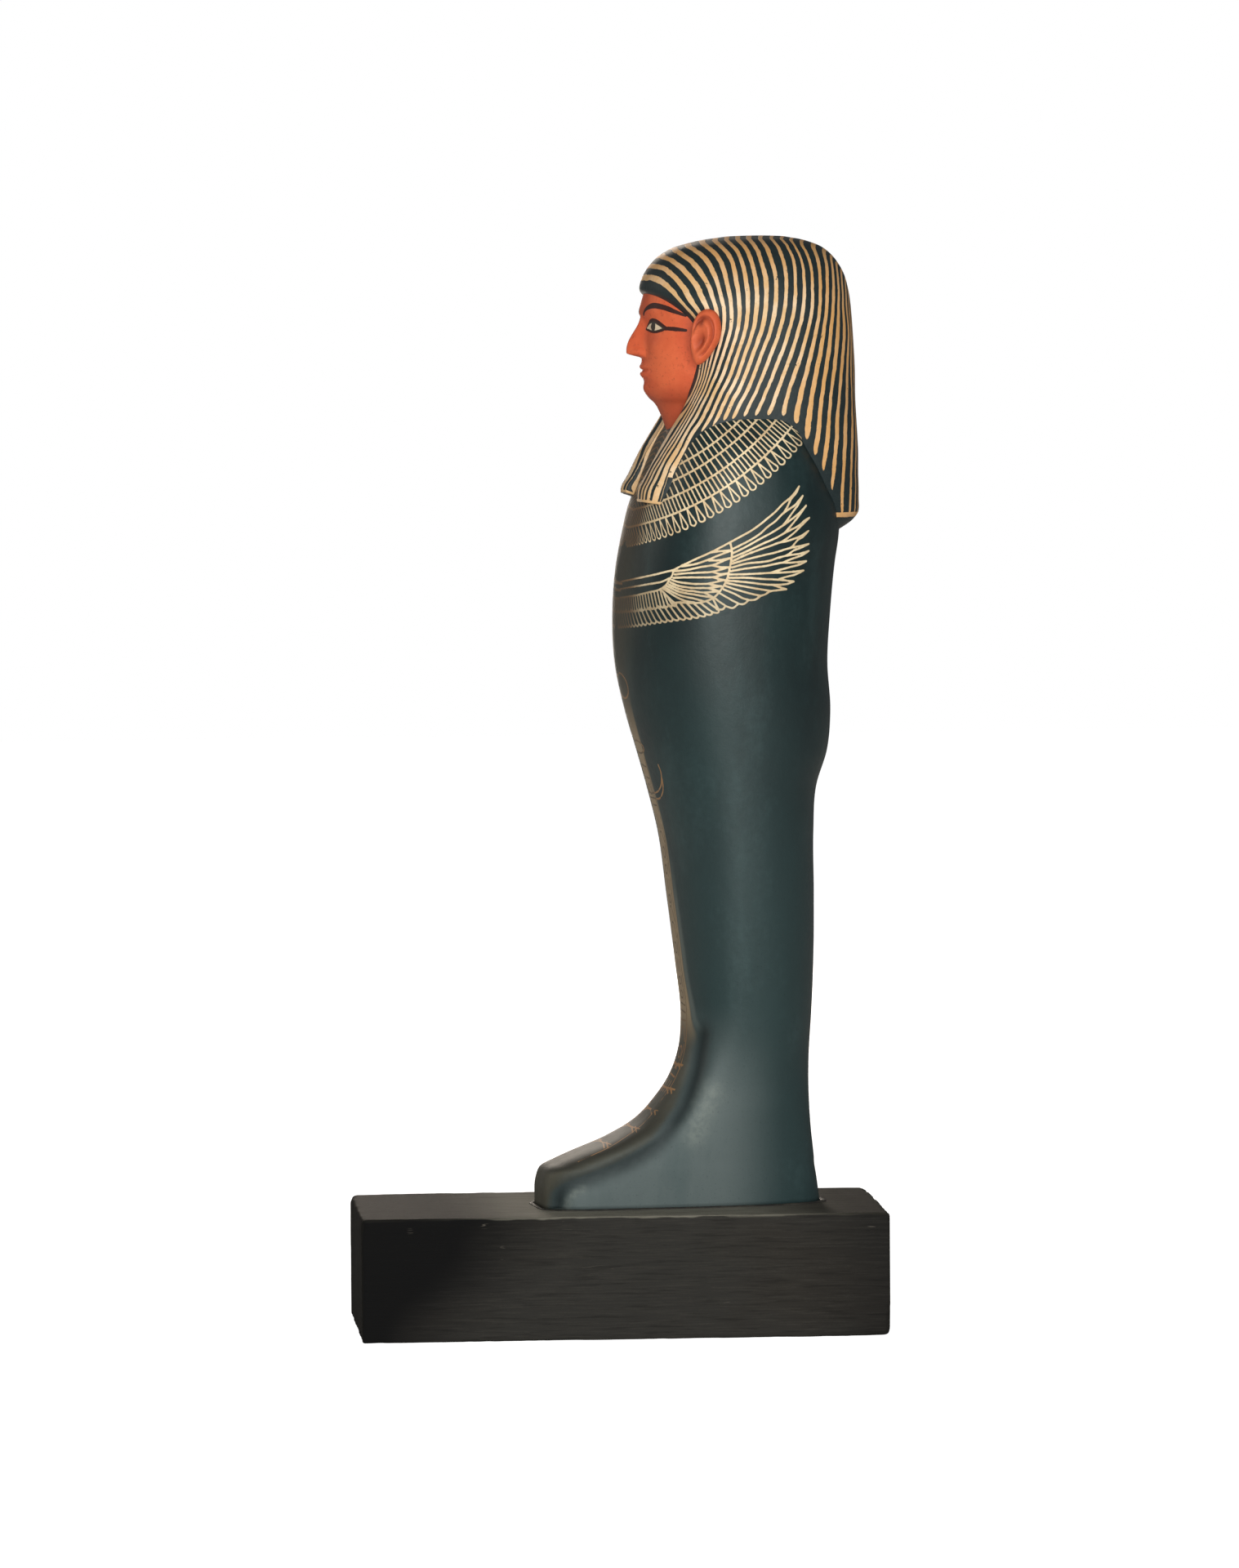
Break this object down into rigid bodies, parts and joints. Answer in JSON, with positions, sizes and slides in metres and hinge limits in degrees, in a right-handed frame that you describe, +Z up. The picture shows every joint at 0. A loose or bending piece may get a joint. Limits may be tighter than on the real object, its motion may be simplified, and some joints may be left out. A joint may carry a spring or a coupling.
{
  "type": "ptah-sokar-osiris figure",
  "caption": "Painted wooden figure of a wrapped standing body with a striped wig, a broad collar and painted wings, fixed upright on a long rectangular block.",
  "frame": {"origin": "middle of the block's underside", "axes": "+Z up, +X across the block to the figure's left, and the figure's toes point along -Y, turned 6 degrees towards +X"},
  "size_m": [0.15, 0.2924, 0.6083],
  "materials": {
    "figure": "dark blue-green paint with a soft satin sheen",
    "base": "worn black paint, brushed along the grain"
  },
  "bodies": {
    "root": {"figure": "figure", "base": "base"}
  },
  "joints": []
}
